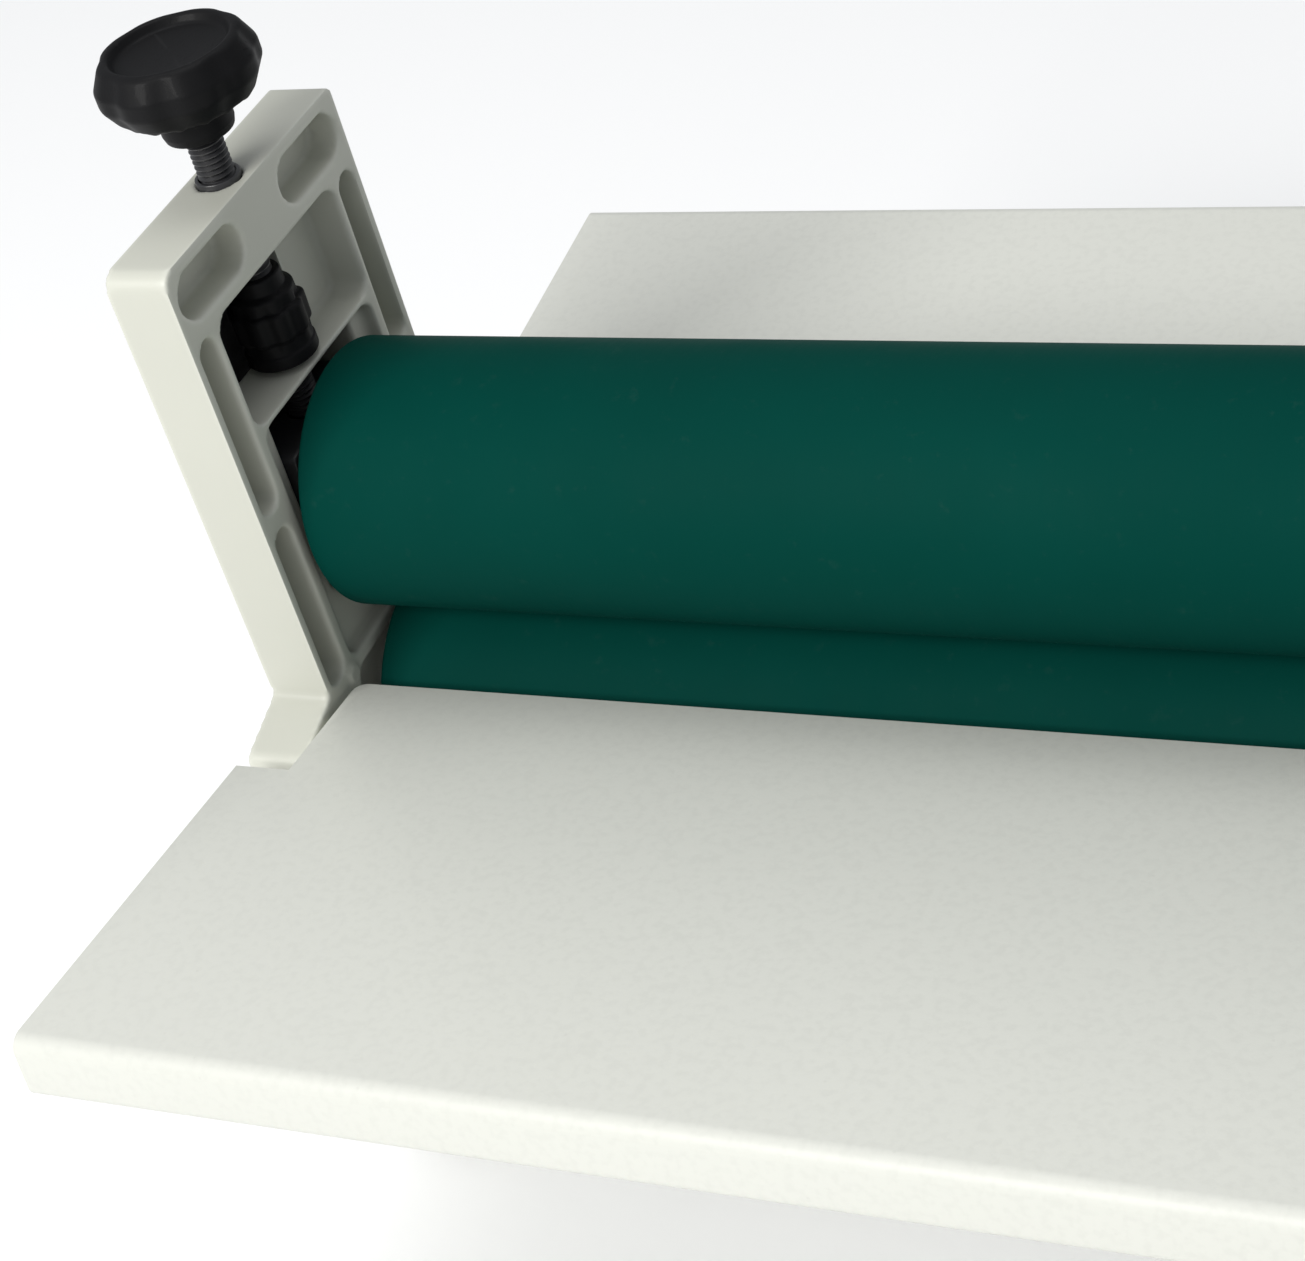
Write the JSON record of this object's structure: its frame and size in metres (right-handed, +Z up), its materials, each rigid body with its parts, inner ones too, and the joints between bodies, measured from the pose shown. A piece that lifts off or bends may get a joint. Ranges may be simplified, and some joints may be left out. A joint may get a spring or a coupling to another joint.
{
  "type": "cold roll laminator",
  "caption": "Bench cold roll laminator: two green rubber rollers between cast end frames, screw-down pressure knobs, front and rear feed tables and a hand crank.",
  "frame": {"origin": "on the desk, under the middle of the whole machine's box, crank included", "axes": "+X along the rollers towards the crank, +Y towards the rear table, +Z up"},
  "size_m": [0.8464, 0.3044, 0.2731],
  "materials": {
    "frame_paint": "cream white paint with a fine texture",
    "table_paint": "off-white powder coat with a fine orange peel",
    "roller_rubber": "dark green, matt, ground smooth",
    "bright_steel": "turned bright steel",
    "zinc_steel": "zinc plated fasteners",
    "blackened_steel": "blackened steel, slightly oily",
    "bronze": "sintered bronze",
    "black_plastic": "moulded black plastic with a soft sheen",
    "cover_plastic": "moulded charcoal plastic",
    "foot_rubber": "matt black rubber"
  },
  "bodies": {
    "root": {"frame_left": "frame_paint", "frame_right": "frame_paint", "lower_bush_left": "bronze", "lower_bush_right": "bronze", "spindle_bush_left": "blackened_steel", "spindle_bush_right": "blackened_steel", "outer_cover_left": "cover_plastic", "outer_cover_right": "cover_plastic", "cover_screws_left": "zinc_steel", "cover_screws_right": "zinc_steel", "front_tie_bar": "bright_steel", "rear_tie_bar": "bright_steel", "front_table_rail": "frame_paint", "rear_table_rail": "frame_paint", "frame_bolts_left": "zinc_steel", "frame_bolts_right": "zinc_steel", "front_table": "table_paint", "rear_table": "table_paint", "front_table_studs": "zinc_steel", "rear_table_studs": "zinc_steel", "front_table_nuts": "zinc_steel", "rear_table_nuts": "zinc_steel", "foot_front_left": "foot_rubber", "foot_front_right": "foot_rubber", "foot_rear_left": "foot_rubber", "foot_rear_right": "foot_rubber", "foot_screws": "zinc_steel"},
    "lower_roller": {"lower_roller_rubber": "roller_rubber", "lower_roller_tube": "bright_steel", "lower_journal_left": "bright_steel", "lower_journal_right": "bright_steel", "lower_clip_left": "blackened_steel", "lower_clip_right": "blackened_steel", "crank_arm": "blackened_steel", "crank_pin": "zinc_steel", "crank_washer": "zinc_steel", "crank_screw": "zinc_steel", "grip_axle": "bright_steel", "grip_nut": "black_plastic"},
    "crank_grip": {"grip_sleeve": "black_plastic"},
    "carriage": {"bearing_block_left": "blackened_steel", "bearing_block_right": "blackened_steel", "upper_bush_left": "bronze", "upper_bush_right": "bronze"},
    "upper_roller": {"upper_roller_rubber": "roller_rubber", "upper_roller_tube": "bright_steel", "upper_journal_left": "bright_steel", "upper_journal_right": "bright_steel"},
    "adjuster_left": {"spindle_left": "blackened_steel", "knob_left": "black_plastic"},
    "adjuster_right": {"spindle_right": "blackened_steel", "knob_right": "black_plastic"},
    "nut_left": {"lock_nut_left": "black_plastic"},
    "nut_right": {"lock_nut_right": "black_plastic"}
  },
  "joints": [
    {"name": "crank_turn", "type": "hinge", "parent": "root", "child": "lower_roller", "pos_m": [0, 0, 0.105], "axis": [1, 0, 0], "continuous": true},
    {"name": "grip_spin", "type": "hinge", "parent": "lower_roller", "child": "crank_grip", "pos_m": [0.3786, 0, 0.02], "axis": [1, 0, 0], "continuous": true},
    {"name": "roller_lift", "type": "slide", "parent": "root", "child": "carriage", "axis": [0, 0, 1], "range_m": [0, 0.01]},
    {"name": "upper_roller_turn", "type": "hinge", "parent": "carriage", "child": "upper_roller", "pos_m": [0, 0, 0.1653], "axis": [1, 0, 0], "continuous": true},
    {"name": "knob_left_turn", "type": "hinge", "parent": "carriage", "child": "adjuster_left", "pos_m": [-0.4055, 0, 0.2253], "axis": [0, 0, 1], "range_deg": [0, 2881]},
    {"name": "knob_right_turn", "type": "hinge", "parent": "carriage", "child": "adjuster_right", "pos_m": [0.3155, 0, 0.2253], "axis": [0, 0, 1], "range_deg": [0, 2881]},
    {"name": "lock_nut_left_turn", "type": "hinge", "parent": "root", "child": "nut_left", "pos_m": [-0.4055, 0, 0.2053], "axis": [0, 0, 1], "range_deg": [-360, 0]},
    {"name": "lock_nut_right_turn", "type": "hinge", "parent": "root", "child": "nut_right", "pos_m": [0.3155, 0, 0.2053], "axis": [0, 0, 1], "range_deg": [-360, 0]}
  ],
  "couplings": [
    {"joint": "upper_roller_turn", "follows": "crank_turn", "ratio": -1},
    {"joint": "knob_left_turn", "follows": "roller_lift", "rad_per_m": 5026.5},
    {"joint": "knob_right_turn", "follows": "roller_lift", "rad_per_m": 5026.5}
  ]
}
